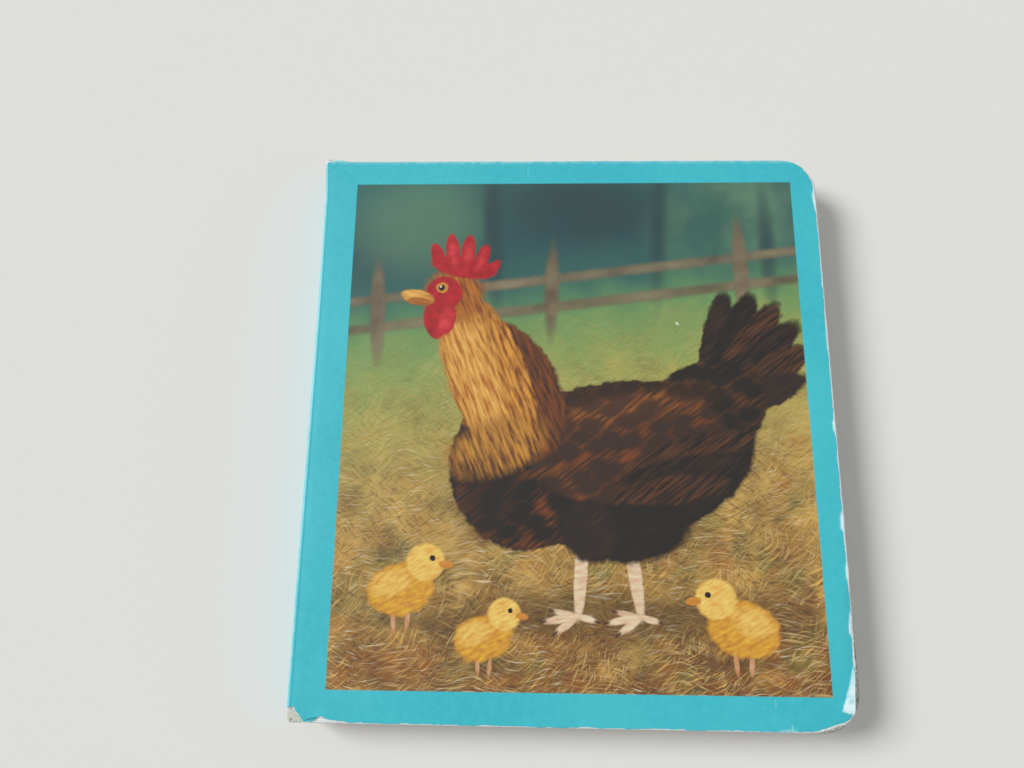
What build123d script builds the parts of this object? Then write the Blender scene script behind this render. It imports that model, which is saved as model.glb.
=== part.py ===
from build123d import *
import os
from math import atan2, degrees, sqrt

# A board book that lies closed on its back cover.
# x runs from the spine to the fore-edge, y from tail to head, z up from the table.

# Wrap: one creased board that makes the front cover, the spine and the back cover
cover_width = 145.0
cover_height = 158.0
board_thickness = 1.8
corner_radius = 10.0  # die-cut round corners at the fore-edge
spine_corner_radius = 2.0  # rubbed corners at the head and tail of the spine
rim_radius = 0.4  # soft edge that die-cutting leaves on the board
fold_radius = 0.9  # outside of the two folds along the spine
fold_slit = 0.12  # room between the boards that meet at a fold

# Hinge creases, pressed into the covers beside the folds
crease_setback = 1.4  # from the spine's face to the middle of a crease
crease_width = 0.7
front_crease_head_depth = 0.1
front_crease_tail_depth = 0.2  # flexed deeper towards the tail
back_crease_depth = 0.1

# Pages: thick leaves, folded at the spine side and pasted back to back
leaf_count = 5
leaf_thickness = 1.5
leaf_gap = 0.15  # air between closed leaves
leaf_inset = 0.4  # the leaves stand back this far from the edges of the covers
spine_hollow = 0.3  # air between the leaf folds and the spine
fold_bulge = 0.5  # how far a leaf fold rounds out towards the spine

# Wear on the front cover, where the printed skin has come off the board
skin_thickness = 0.3
torn_corner_width = 4.4
torn_corner_height = 3.6
torn_corner_shares = ((0, 1), (0.34, 0.92), (0.62, 0.5), (1, 0))
torn_edge_start = 7.0
torn_edge_length = 10.0
torn_edge_height = 1.4
torn_edge_shares = ((0, 0), (0.19, 1), (0.5, 0.45), (1, 0))
worn_corner_reach = 17.0  # along both edges, from where they would meet
worn_corner_band = 3.3  # width of the bare crescent at its middle

overrun = 1.0  # how far cutters pass the faces that they open

# Places that follow from those sizes
leaf_pitch = leaf_thickness + leaf_gap
leaf_floors = [board_thickness + leaf_gap + leaf_pitch * leaf for leaf in range(leaf_count)]
book_thickness = leaf_floors[-1] + leaf_pitch + board_thickness
spine_face = -cover_width / 2
fore_edge = cover_width / 2
tail_edge = -cover_height / 2
fold_line = spine_face + board_thickness + spine_hollow + fold_bulge
ply_end = fold_line + leaf_thickness / 2  # inner end of the air between two leaves


def cover_outline():
    # Plan of the closed book: round corners at the fore-edge, nearly square ones at the spine
    outline = Rectangle(cover_width, cover_height)
    outline = fillet(outline.vertices().group_by(Axis.X)[-1], corner_radius)
    return fillet(outline.vertices().group_by(Axis.X)[0], spine_corner_radius)


def die_cut_block():
    # The closed book as the die leaves it, with a soft edge round both covers
    block = extrude(cover_outline(), amount=book_thickness)
    levels = block.edges().group_by(Axis.Z)
    return fillet(levels[0] + levels[-1], rim_radius)


def wrap_sections():
    # Section across the spine: a U of board, rounded at its folds and slit along each fold's bisector
    outside = Pos(0, book_thickness / 2) * Rectangle(cover_width, book_thickness)
    outside = fillet(outside.vertices().group_by(Axis.X)[0], fold_radius)
    hollow = Rectangle(cover_width, book_thickness - 2 * board_thickness, align=(Align.MIN, Align.MIN))
    slit = Rectangle(2 * board_thickness, fold_slit)
    fold_middle = spine_face + board_thickness / 2
    section = outside - Pos(spine_face + board_thickness, board_thickness) * hollow
    section -= Pos(fold_middle, board_thickness / 2) * Rot(0, 0, 45) * slit
    section -= Pos(fold_middle, book_thickness - board_thickness / 2) * Rot(0, 0, -45) * slit
    return section.faces().sort_by(Axis.Y)


def wrap_panel(section):
    # One panel of the wrap, as tall as the book and trimmed by the die
    panel = extrude(Plane.XZ * section, amount=cover_height / 2, both=True)
    return panel & die_cut_block()


def crease_roller(head_depth, tail_depth):
    # The round tool that presses a crease, touching z = 0 from above and lower at the end that is pressed deeper
    depth = (head_depth + tail_depth) / 2
    radius = crease_width**2 / (8 * depth) + depth / 2
    tilt = degrees(atan2(tail_depth - head_depth, cover_height))
    roller = Cylinder(radius, cover_height + 2 * overrun, rotation=(90, 0, 0))
    return Pos(spine_face + crease_setback, 0, radius - depth) * Rot(tilt, 0, 0) * roller


def bare_patch(plan):
    # Recess in the front of the book where the skin is gone and the board lies bare
    return Pos(0, 0, book_thickness - skin_thickness) * extrude(plan, amount=skin_thickness + overrun)


def torn_corner():
    # Ragged tear at the tail corner of the spine
    edge = [
        (spine_face + torn_corner_width * across, tail_edge + torn_corner_height * up)
        for across, up in torn_corner_shares
    ]
    outside = [
        (spine_face + torn_corner_width, tail_edge - overrun),
        (spine_face - overrun, tail_edge - overrun),
        (spine_face - overrun, tail_edge + torn_corner_height),
    ]
    return bare_patch(make_face(Polyline(*edge, *outside, close=True)))


def torn_edge():
    # Narrow tear that runs on along the tail edge
    start = spine_face + torn_edge_start
    edge = [
        (start + torn_edge_length * along, tail_edge + torn_edge_height * up) for along, up in torn_edge_shares
    ]
    outside = [(start + torn_edge_length, tail_edge - overrun), (start, tail_edge - overrun)]
    return bare_patch(make_face(Polyline(*edge, *outside, close=True)))


def worn_corner():
    # Crescent round the tail corner of the fore-edge, rubbed down to the board
    inset = (corner_radius * (sqrt(2) - 1) + worn_corner_band) / sqrt(2)
    start = (fore_edge, tail_edge + worn_corner_reach)
    middle = (fore_edge - inset, tail_edge + inset)
    end = (fore_edge - worn_corner_reach, tail_edge)
    outside = [
        end,
        (fore_edge - worn_corner_reach, tail_edge - overrun),
        (fore_edge + overrun, tail_edge - overrun),
        (fore_edge + overrun, tail_edge + worn_corner_reach),
        start,
    ]
    return bare_patch(make_face([ThreePointArc(start, middle, end), Polyline(*outside)]))


def front_cover(section):
    crease = Pos(0, 0, book_thickness) * crease_roller(front_crease_head_depth, front_crease_tail_depth)
    return wrap_panel(section) - crease - torn_corner() - torn_edge() - worn_corner()


def back_cover(section):
    crease = Rot(180, 0, 0) * crease_roller(back_crease_depth, back_crease_depth)
    return wrap_panel(section) - crease


def pages():
    # Section across the spine: every fold joins the half of a leaf below it to the half above it,
    # and the lowest fold stands on the back cover
    middles = [floor + leaf_thickness / 2 for floor in leaf_floors]
    top = leaf_floors[-1] + leaf_thickness
    folds = []
    for low, high in zip([board_thickness, *middles], middles):
        bulge = fold_bulge * (high - low) / leaf_pitch
        folds.append(ThreePointArc((fold_line, low), (fold_line - bulge, (low + high) / 2), (fold_line, high)))
    rest = Polyline(
        (fold_line, middles[-1]),
        (fold_line, top),
        (fore_edge, top),
        (fore_edge, leaf_floors[0]),
        (ply_end, leaf_floors[0]),
        (ply_end, board_thickness),
        (fold_line, board_thickness),
    )
    section = make_face([*folds, rest])
    air = Rectangle(cover_width, leaf_gap, align=(Align.MIN, Align.MIN))
    for floor in leaf_floors[1:]:
        section -= Pos(ply_end, floor - leaf_gap) * air
    block = extrude(Plane.XZ * section, amount=cover_height / 2, both=True)
    return block & extrude(offset(cover_outline(), amount=-leaf_inset), amount=book_thickness)


back_section, spine_section, front_section = wrap_sections()
nodes = {
    "back_cover": back_cover(back_section),
    "pages": pages(),
    "spine": wrap_panel(spine_section),
    "front_cover": front_cover(front_section),
}

os.makedirs("parts", exist_ok=True)
for name, solid in nodes.items():
    export_step(solid, f"parts/{name}.step")
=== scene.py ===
import math
from functools import partial
import bmesh
import bpy
from mathutils import Matrix, Vector, noise
from mathutils.geometry import delaunay_2d_cdt


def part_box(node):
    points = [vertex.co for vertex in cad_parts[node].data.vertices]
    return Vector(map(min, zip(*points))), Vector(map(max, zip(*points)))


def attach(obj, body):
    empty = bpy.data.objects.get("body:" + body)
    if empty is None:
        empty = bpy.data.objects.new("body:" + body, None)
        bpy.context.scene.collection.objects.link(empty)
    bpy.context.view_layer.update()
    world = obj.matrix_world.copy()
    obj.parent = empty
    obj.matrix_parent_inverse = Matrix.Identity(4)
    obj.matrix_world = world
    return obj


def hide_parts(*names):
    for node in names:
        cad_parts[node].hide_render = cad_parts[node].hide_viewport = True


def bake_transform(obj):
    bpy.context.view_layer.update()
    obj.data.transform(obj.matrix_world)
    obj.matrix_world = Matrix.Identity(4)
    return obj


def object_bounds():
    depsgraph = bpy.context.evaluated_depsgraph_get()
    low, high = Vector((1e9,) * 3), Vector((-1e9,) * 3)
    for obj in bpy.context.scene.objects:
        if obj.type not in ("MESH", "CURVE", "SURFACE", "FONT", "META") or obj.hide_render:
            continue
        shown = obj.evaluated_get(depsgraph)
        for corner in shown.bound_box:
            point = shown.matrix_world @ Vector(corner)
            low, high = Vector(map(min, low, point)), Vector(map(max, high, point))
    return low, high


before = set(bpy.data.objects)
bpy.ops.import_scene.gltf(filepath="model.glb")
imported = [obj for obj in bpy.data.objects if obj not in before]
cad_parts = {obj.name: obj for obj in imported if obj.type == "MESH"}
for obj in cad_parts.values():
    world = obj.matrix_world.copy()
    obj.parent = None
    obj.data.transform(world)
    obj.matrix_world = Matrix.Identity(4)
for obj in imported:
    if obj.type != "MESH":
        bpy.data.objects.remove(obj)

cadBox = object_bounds()  # the CAD model's box, before anything is added
mm = 0.001
sharpAngle = math.radians(38)  # an edge that bends more than this stays sharp

# Sizes of the closed book in mm, read from the frame
bookLow, bookHigh = [corner / mm for corner in cadBox]
left, right = bookLow.x, bookHigh.x  # spine side and fore-edge
tail, head = bookLow.y, bookHigh.y
top = bookHigh.z
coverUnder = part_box("front_cover")[0].z / mm
board = top - coverUnder
leafLow, leafHigh = [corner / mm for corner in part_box("pages")]
print("frame: book %.1f x %.1f x %.1f mm" % (right - left, head - tail, top))


def linear(hexColour):
    # sRGB hex to the linear colour that a socket takes
    parts = [int(hexColour[i:i + 2], 16) / 255 for i in (1, 3, 5)]
    return (*[p / 12.92 if p <= 0.04045 else ((p + 0.055) / 1.055) ** 2.4 for p in parts], 1.0)


def addNode(tree, kind, inputs=(), out=0, **settings):
    # one node with its settings; inputs are a row in the node's own order or a dictionary by name,
    # each a value or another node's output, and the call gives one of the node's outputs
    node = tree.nodes.new(kind if "Node" in kind else "ShaderNode" + kind)
    for key, value in settings.items():
        if isinstance(value, dict):
            for part, setting in value.items():
                setattr(getattr(node, key), part, setting)
        else:
            setattr(node, key, value)
    for key, value in inputs.items() if isinstance(inputs, dict) else enumerate(inputs):
        if isinstance(value, bpy.types.NodeSocket):
            tree.links.new(value, node.inputs[key])
        else:
            node.inputs[key].default_value = value
    return node.outputs[out] if node.outputs else None


def newMaterial(name):
    # a material, what adds nodes to it, and Object coordinates in mm, so a scale is one over a real size
    material = bpy.data.materials.new(name)
    material.use_nodes = True
    material.node_tree.nodes.clear()
    add = partial(addNode, material.node_tree)
    place = add("TexCoord", out="Object")
    return material, add, add("VectorMath", {0: place, "Scale": 1 / mm}, operation="SCALE")


def finishSurface(add, look, colour, roughness, height, **more):
    # the shader that ends a material, with a fine relief of a depth in mm
    relief = add("Bump", {"Height": height, "Strength": look["bump"], "Distance": look["relief"] * mm})
    surface = add("BsdfPrincipled", {
        "Base Color": colour, "Roughness": roughness, "Normal": relief, "IOR": look["ior"], **more,
    })
    add("OutputMaterial", {"Surface": surface})


# The cover picture: a farmyard in the book's colours, painted in coats of soft ellipses on fields of colour.
# Places and sizes are in mm from the middle of the picture.
picture = dict(
    centre=(1.23, 0.36),
    half=(64.15, 71.1),
    turn=0.2,  # degrees, printed a touch askew
    edgeBlur=0.12,
    wobble=dict(ragged=(2.6, 2.2), neat=(1.8, 0.5)),  # grain and reach, for feathery and for neat outlines
)
palette = dict(
    soot="#15100E", coal="#211815", umber="#33221A", chestnut="#5A3720", russet="#7C431C", amber="#B8702A",
    gold="#DB9A3E", honey="#EDBE62", cream="#EBDCB8", blush="#D8AE8C", scarlet="#C3242C", crimson="#8E161F",
    coral="#E0535A", yolk="#E7B63A", lemon="#F3D877", slate="#2A3A3E", pine="#234649", moss="#3F6A58",
    sage="#6E9473", bark="#5A4A38", ash="#8E8468", straw="#CDB274", dusk="#3A2A18", ink="#0B0908",
    fern="#5F6B36",
)
# A finish: outline, then its light and dark as turn, grain along x and y, range of the noise that shows
finishes = dict(
    shade=("ragged",), plain=("neat",),
    haze=("neat", 0, 16, 16, 0.35, 0.65), skin=("neat", 0, 2.6, 2.6, 0.25, 0.75),
    plume=("ragged", 38, 9, 0.9, 0.4, 0.66), hackle=("ragged", 22, 0.9, 7, 0.36, 0.64),
    down=("ragged", 28, 2.6, 0.9, 0.25, 0.72), fluff=("neat", 28, 2.6, 0.9, 0.25, 0.72),
    scute=("neat", 6, 4.0, 0.9, 0.3, 0.7), horn=("neat", -10, 6.0, 1.6, 0.25, 0.75),
    feathers=("ragged", 14, 6.5, 4.2, 0.3, 0.75),
)
# straw in front, meadow behind, trees at the top
ground = dict(
    lean=0.12, drift=13.0, driftRise=14.0,  # the hill leans down to the left, and its line is uneven
    span=(-66.0, 80.0),
    stops=(
        (0.0, "#74491F"), (0.1, "#8F6630"), (0.24, "#AE8845"), (0.4, "#B99C55"), (0.52, "#A9A257"),
        (0.62, "#8CA059"), (0.7, "#6E955B"), (0.745, "#4F7C5C"), (0.785, "#32605A"), (0.88, "#264F51"),
        (1.0, "#35645F"),
    ),
    near=(0.74, 0.25, 0.95),  # where dry grass begins and where it is full, and how much of it shows there
    clump=10.0, bend=14.0, bendBy=9.0, stalkShow=0.75,
    # clumps of rust, moss, shade and honey: channel of the noise, range that shows, colour, strength
    clumps=(
        ("Red", 0.5, 0.66, "russet", 0.5), ("Green", 0.5, 0.68, "fern", 0.6),
        ("Blue", 0.52, 0.68, "dusk", 0.5), ("Red", 0.47, 0.3, "honey", 0.45),
        ("Blue", 0.46, 0.32, "amber", 0.35),
    ),
    # turn, length, thickness, colour, range of the noise that shows, and the drift that it grows in
    stalks=(
        (24, 4.6, 0.7, "dusk", 0.5, 0.68, "Red", 0.35, 0.6),
        (-38, 4.2, 0.6, "chestnut", 0.5, 0.68, "Green", 0.4, 0.62),
        (-14, 5.0, 0.55, "straw", 0.52, 0.68, "Green", 0.62, 0.42),
        (68, 4.4, 0.55, "straw", 0.54, 0.7, "Blue", 0.45, 0.62),
        (40, 5.2, 0.5, "honey", 0.55, 0.7, "Red", 0.62, 0.42),
        (5, 6.0, 0.5, "cream", 0.58, 0.72, "Blue", 0.6, 0.4),
    ),
)
# A coat of paint: finish, dark and light colour, strength, then its ellipses, each with its x, y,
# radius along x and along y, turn in degrees and blur
backgroundCoats = (
    ("haze", "sage", "moss", 0.5, (-44, 58, 17, 13, 10, 8)),
    ("haze", "slate", "pine", 0.8, (2, 64, 22, 10, -6, 8)),
    ("haze", "moss", "sage", 0.55, (47, 60, 20, 14, 14, 8)),
    ("haze", "slate", "pine", 0.85, (-23, 55, 2.2, 17, 2, 2)),
    ("haze", "slate", "pine", 0.75, (25, 57, 1.7, 15, -3, 2)),
    ("haze", "slate", "pine", 0.7, (56, 50, 2.0, 13, 1, 1.8)),
    # rails and posts
    ("haze", "bark", "ash", 0.85, (0, 41.5, 150, 1.3, 7, 0.9), (0, 33.0, 150, 1.4, 7, 0.9)),
    (
        "haze", "bark", "ash", 0.95,
        (-56, 31, 2.1, 14, 2, 0.8), (-6, 37, 2.0, 13, -2, 0.8), (48, 44, 2.1, 14, 1, 0.8),
    ),
)
henCoats = (
    # shade on the ground, and legs
    ("shade", "dusk", "dusk", 0.6, (10, -52, 44, 5.5, 0, 4)),
    ("scute", "blush", "cream", 1, (1.5, -41, 1.7, 12, -4, 0.3)),
    ("scute", "blush", "cream", 0.95, (15.5, -41, 1.7, 12, 7, 0.3)),
    # tail fan
    ("plume", "soot", "umber", 1, (40, 20, 17, 4.6, 80, 0.4)),
    ("plume", "ink", "coal", 1, (44, 19.5, 18, 4.8, 68, 0.4)),
    ("plume", "soot", "chestnut", 1, (47.5, 18, 18.5, 4.9, 56, 0.4)),
    ("plume", "ink", "umber", 1, (50, 15, 18, 4.8, 44, 0.4)),
    ("plume", "soot", "chestnut", 1, (51, 11, 17, 4.8, 32, 0.4)),
    ("plume", "coal", "umber", 1, (50, 6.5, 15, 4.6, 20, 0.4)),
    # body
    ("feathers", "soot", "umber", 1, (10, -12, 39, 22, 9, 0.5)),
    ("feathers", "soot", "chestnut", 1, (35, 1, 19, 14, 32, 0.6)),
    ("feathers", "soot", "russet", 1, (-13, -13, 21, 23, -4, 0.5)),
    ("feathers", "soot", "coal", 1, (13, -28, 18, 11, 0, 1.2)),
    ("feathers", "coal", "umber", 1, (4, -31, 7, 8, 8, 1.0)),
    # wing and its long feathers
    ("feathers", "umber", "russet", 1, (15, -8, 27, 14.5, 11, 0.8)),
    ("plume", "soot", "chestnut", 1, (31, -10, 19, 4.6, 17, 0.6)),
    ("plume", "ink", "umber", 1, (29, -15, 18, 4.2, 12, 0.6)),
    ("plume", "soot", "chestnut", 1, (26, -19.5, 16, 3.6, 7, 0.6)),
    ("feathers", "chestnut", "amber", 0.4, (10, 3, 24, 4.5, 9, 3.5)),
    ("feathers", "soot", "ink", 0.7, (-22, -22, 9, 10, 10, 7)),
    # neck and head
    ("hackle", "umber", "russet", 1, (-17, 8, 13, 21, 24, 0.7)),
    ("hackle", "russet", "gold", 1, (-24, 12, 11, 26, 21, 0.6)),
    ("hackle", "amber", "honey", 0.85, (-28, 14, 6.5, 22, 19, 3.0)),
    ("hackle", "chestnut", "gold", 0.75, (-21, -8, 13, 7, 20, 2.5)),
    ("hackle", "russet", "amber", 1, (-34, 36, 8.2, 7.8, 10, 2.2)),
    # comb and wattles, and the light on them
    (
        "skin", "crimson", "scarlet", 1,
        (-31.5, 44.5, 9.5, 3.2, -10, 0.3), (-39, 47.5, 1.9, 4.6, 16, 0.25), (-34.8, 49.4, 2, 5.4, 6, 0.25),
        (-30.3, 49.4, 2, 5.2, -6, 0.25), (-26.2, 47.3, 1.9, 4.4, -20, 0.25),
        (-23.6, 43.8, 1.6, 3.6, -44, 0.25), (-37, 36.5, 5.2, 5, 0, 0.4), (-39.5, 28.3, 3, 5.6, 10, 0.3),
        (-36, 28.8, 2.5, 4.8, -8, 0.3),
    ),
    (
        "skin", "scarlet", "coral", 0.7,
        (-36.2, 28.0, 1.6, 3.6, -8, 1.4), (-34.8, 48.8, 1.1, 3.8, 6, 1.0), (-30.2, 48.8, 1.0, 3.4, -6, 1.0),
        (-26.4, 46.8, 0.9, 2.8, -20, 0.9),
    ),
    # beak and eye
    ("horn", "amber", "honey", 1, (-44.6, 35.4, 4.8, 2.1, -12, 0.25)),
    ("horn", "russet", "amber", 1, (-44.0, 34.0, 3.6, 1.1, -4, 0.25)),
    ("skin", "amber", "gold", 1, (-37.6, 38.2, 1.7, 1.6, 0, 0.2)),
    ("plain", "ink", "ink", 1, (-37.7, 38.2, 0.9, 0.9, 0, 0.15)),
    ("plain", "cream", "cream", 1, (-38.0, 38.6, 0.3, 0.3, 0, 0.12)),
)
footCoats = (
    # from the ankle: three toes in front, one behind, and their claws
    ("scute", "blush", "cream", 0.9, (-3.1, 0.5, 3.4, 0.8, -11, 0.3)),
    (
        "scute", "blush", "cream", 1,
        (2.2, -0.6, 2.4, 0.8, -16, 0.3), (-4.1, -0.7, 4.7, 0.95, 10, 0.3), (-2.8, -2.0, 3.7, 0.95, 36, 0.3),
    ),
    (
        "horn", "umber", "chestnut", 0.9,
        (-6.9, 1.2, 0.8, 0.32, -14, 0.2), (4.9, -1.4, 0.7, 0.3, -20, 0.2), (-9.2, -1.5, 0.9, 0.36, 14, 0.2),
        (-6.1, -4.4, 0.9, 0.36, 40, 0.2),
    ),
)
chickCoats = (
    # from the middle of the chick, which faces right
    ("shade", "dusk", "dusk", 0.6, (0, -8.2, 9, 1.8, 0, 1.6)),
    ("skin", "amber", "blush", 1, (-1.5, -8.0, 0.6, 2.8, 4, 0.2), (2.2, -8.0, 0.6, 2.8, -5, 0.2)),
    ("down", "amber", "yolk", 1, (0, 0, 8.8, 6.6, 12, 0.6)),
    ("down", "gold", "lemon", 0.8, (-2.5, 1.5, 5.0, 3.2, 18, 1.2)),
    ("fluff", "gold", "lemon", 1, (6.4, 7.0, 5.0, 4.8, 0, 0.5)),
    ("horn", "amber", "gold", 1, (11.9, 6.4, 1.9, 1.0, -8, 0.2)),
    ("plain", "ink", "ink", 1, (8.3, 8.0, 0.75, 0.75, 0, 0.15)),
)
# what is painted and where: x, y, facing, size
paintings = (
    (backgroundCoats, ((0, 0, 1, 1.0),)),
    (henCoats, ((0, 0, 1, 1.0),)),
    (footCoats, ((0.7, -52.3, 1, 1.0), (17.0, -52.4, 1, 1.0))),
    (chickCoats, ((-46, -46, 1, 1.0), (-24, -58, 1, 0.85), (43, -55, -1, 1.05))),
)


def groundLayers(add, flat, axes):
    # the ground's colour, and masks with the colours of dry grass on it, which fades towards the trees
    drift = add("TexNoise", {"Vector": flat, "Scale": 1 / ground["drift"], "Detail": 4.0})
    lean = add("Math", (axes["X"], -ground["lean"]), operation="MULTIPLY")
    rise = add("Math", (axes["Y"], lean), operation="ADD")
    rise = add("Math", (drift, ground["driftRise"], rise), operation="MULTIPLY_ADD")
    low, high = ground["span"]
    depth = add("MapRange", (rise, low, high))
    field = add("ValToRGB", [depth])
    ramp = field.node.color_ramp
    while len(ramp.elements) < len(ground["stops"]):
        ramp.elements.new(1.0)
    for stop, (position, colour) in zip(ramp.elements, ground["stops"]):
        stop.position = position
        stop.color = linear(colour)

    layers = []
    begin, full, most = ground["near"]
    near = add("MapRange", (depth, begin, full, 0.0, most))
    clumps = add("TexNoise", {"Vector": flat, "Scale": 1 / ground["clump"], "Detail": 4.0}, "Color")
    clumps = add("SeparateColor", [clumps]).node.outputs
    for channel, low, high, tint, most in ground["clumps"]:
        clump = add("MapRange", (clumps[channel], low, high, 0.0, most))
        layers.append((add("Math", (clump, near), operation="MULTIPLY"), tint))
    # stalks lie about in bent swathes
    drifts = add("TexNoise", {"Vector": flat, "Scale": 1 / ground["bend"], "Detail": 0.0}, "Color")
    bend = add("VectorMath", (drifts, (0.5, 0.5, 0.5)), operation="SUBTRACT")
    bend = add("VectorMath", (bend, (ground["bendBy"], ground["bendBy"], 0)), operation="MULTIPLY")
    strewn = add("VectorMath", (flat, bend), operation="ADD")
    patches = add("SeparateColor", [drifts]).node.outputs
    for turn, long, thin, tint, low, high, channel, driftLow, driftHigh in ground["stalks"]:
        laid = add("Mapping", {
            "Vector": strewn, "Location": (turn, long, 0), "Rotation": (0, 0, math.radians(turn)),
            "Scale": (long, thin, 1),
        }, vector_type="TEXTURE")
        stalks = add("TexNoise", {"Vector": laid, "Scale": 1.0, "Detail": 2.0})
        stalks = add("MapRange", (stalks, low, high, 0.0, ground["stalkShow"]))
        patch = add("MapRange", (patches[channel], driftLow, driftHigh, 0.2))
        cover = add("Math", (stalks, near), operation="MULTIPLY")
        layers.append((add("Math", (cover, patch), operation="MULTIPLY"), tint))
    return field, layers


def pictureColour(add, place):
    # the picture's colour and its mask, from a place in mm
    centre, turn = picture["centre"], math.radians(picture["turn"])
    flat = add("Mapping", (place, (*centre, 0), (0, 0, turn)), vector_type="TEXTURE")
    flat = add("VectorMath", (flat, (1, 1, 0)), operation="MULTIPLY")
    axes = add("SeparateXYZ", [flat]).node.outputs
    overs = []
    for axis, half in zip("XY", picture["half"]):
        size = add("Math", [axes[axis]], operation="ABSOLUTE")
        overs.append(add("Math", (size, half), operation="SUBTRACT"))
    over = add("Math", (overs[0], overs[1]), operation="MAXIMUM")
    blur = picture["edgeBlur"]
    panel = add("MapRange", (over, blur, -blur))

    # places pushed about a little
    places = {}
    for key, (grain, by) in picture["wobble"].items():
        cloud = add("TexNoise", {"Vector": flat, "Scale": 1 / grain, "Detail": 2.0}, "Color")
        push = add("VectorMath", (cloud, (0.5, 0.5, 0.5)), operation="SUBTRACT")
        push = add("VectorMath", (push, (by, by, 0)), operation="MULTIPLY")
        places[key] = add("VectorMath", (flat, push), operation="ADD")
    tones = {}
    for key, (_, *grain) in finishes.items():
        if not grain:
            continue
        turn, grainX, grainY, low, high = grain
        spread = add("Mapping", {
            "Vector": places["neat"], "Rotation": (0, 0, math.radians(turn)), "Scale": (grainX, grainY, 1),
        }, vector_type="TEXTURE")
        if key == "feathers":
            # dark scales with lighter rims, lying along the body
            rims = add("TexVoronoi", {"Vector": spread, "Scale": 1.0}, voronoi_dimensions="2D")
            rims = add("MapRange", (rims, low, high), interpolation_type="SMOOTHSTEP")
            tones[key] = add("Math", (rims, tones["plume"]), operation="MULTIPLY")
        else:
            cloud = add("TexNoise", {"Vector": spread, "Scale": 1.0, "Detail": 3.0})
            tones[key] = add("MapRange", (cloud, low, high))

    colour, layers = groundLayers(add, flat, axes)
    for coats, spots in paintings:
        for finish, dark, light, strength, *ellipses in coats:
            placed = [
                (
                    atX + facing * size * x, atY + size * y,
                    size * radiusX, size * radiusY, facing * turn, soft,
                )
                for x, y, radiusX, radiusY, turn, soft in ellipses for atX, atY, facing, size in spots
            ]
            outline = places[finishes[finish][0]]
            mask = None
            for x, y, radiusX, radiusY, turn, soft in placed:
                # a ball of fading light, squeezed into the ellipse by its own mapping
                edge = soft / min(radiusX, radiusY)
                ball = add("TexGradient", [outline], "Fac", gradient_type="SPHERICAL", texture_mapping=dict(
                    vector_type="TEXTURE", translation=(x, y, 0), rotation=(0, 0, math.radians(turn)),
                    scale=(radiusX * (1 + edge), radiusY * (1 + edge), 1),
                ))
                full = min(1.0, 2 * edge / (1 + edge))
                inside = add("MapRange", (ball, 0, full, 0, strength), interpolation_type="SMOOTHSTEP")
                if mask:
                    inside = add("Math", (mask, inside), operation="MAXIMUM")
                mask = inside
            layers.append((mask, dark))
            if finish in tones:
                layers.append((add("Math", (mask, tones[finish]), operation="MULTIPLY"), light))
    for mask, tint in layers:
        colour = add("Mix", {0: mask, 6: colour, 7: linear(palette[tint])}, 2, data_type="RGBA")
    return colour, panel


# Wrap board: grey-white pulp board with a printed face under a satin film.
# The eye gets an even teal with a fine mottle and a broad soft gloss, white then grey where the skin is off.
laminate = dict(
    # bruise is the pale of rubbed film and also the colour of painted highlights; shade is painted shade
    teal="#3EC0CD", tealDeep="#34B6C4", tealPale="#50CCD6", bruiseAndHighlight="#D9F3F6", shade="#1E7680",
    paper="#ECF0F1", pulp="#D5D6C9", pulpDark="#62625B",
    mottle=1.6,  # mm, ink and film mottle, drawn coarser than the real 0.3 mm so that it shows
    cloud=38.0,
    film=2.4,  # mm, waves of the film
    fray=0.9, crumb=0.55,  # mm, ragged line of a tear and crumbs of bare board
    roughness=0.42, bareRoughness=0.9, ior=1.48, bump=0.25, relief=0.06,
    # speck, painted shade along the crease between the tears, faint scratches: x, y, half length and width,
    # turn, colour, strength
    marks=(
        (30.5, 27.8, 0.75, 0.34, -48, "paper", 0.9), (-65.7, -77.9, 2.2, 0.28, 14, "shade", 0.75),
        (51.3, -72.3, 1.6, 0.35, 92, "bruiseAndHighlight", 0.14), (55.1, -78.0, 1.4, 0.4, 89, "bruiseAndHighlight", 0.25),
        (53.8, -78.7, 3.2, 0.8, 2, "bruiseAndHighlight", 0.25),
    ),
)


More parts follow.
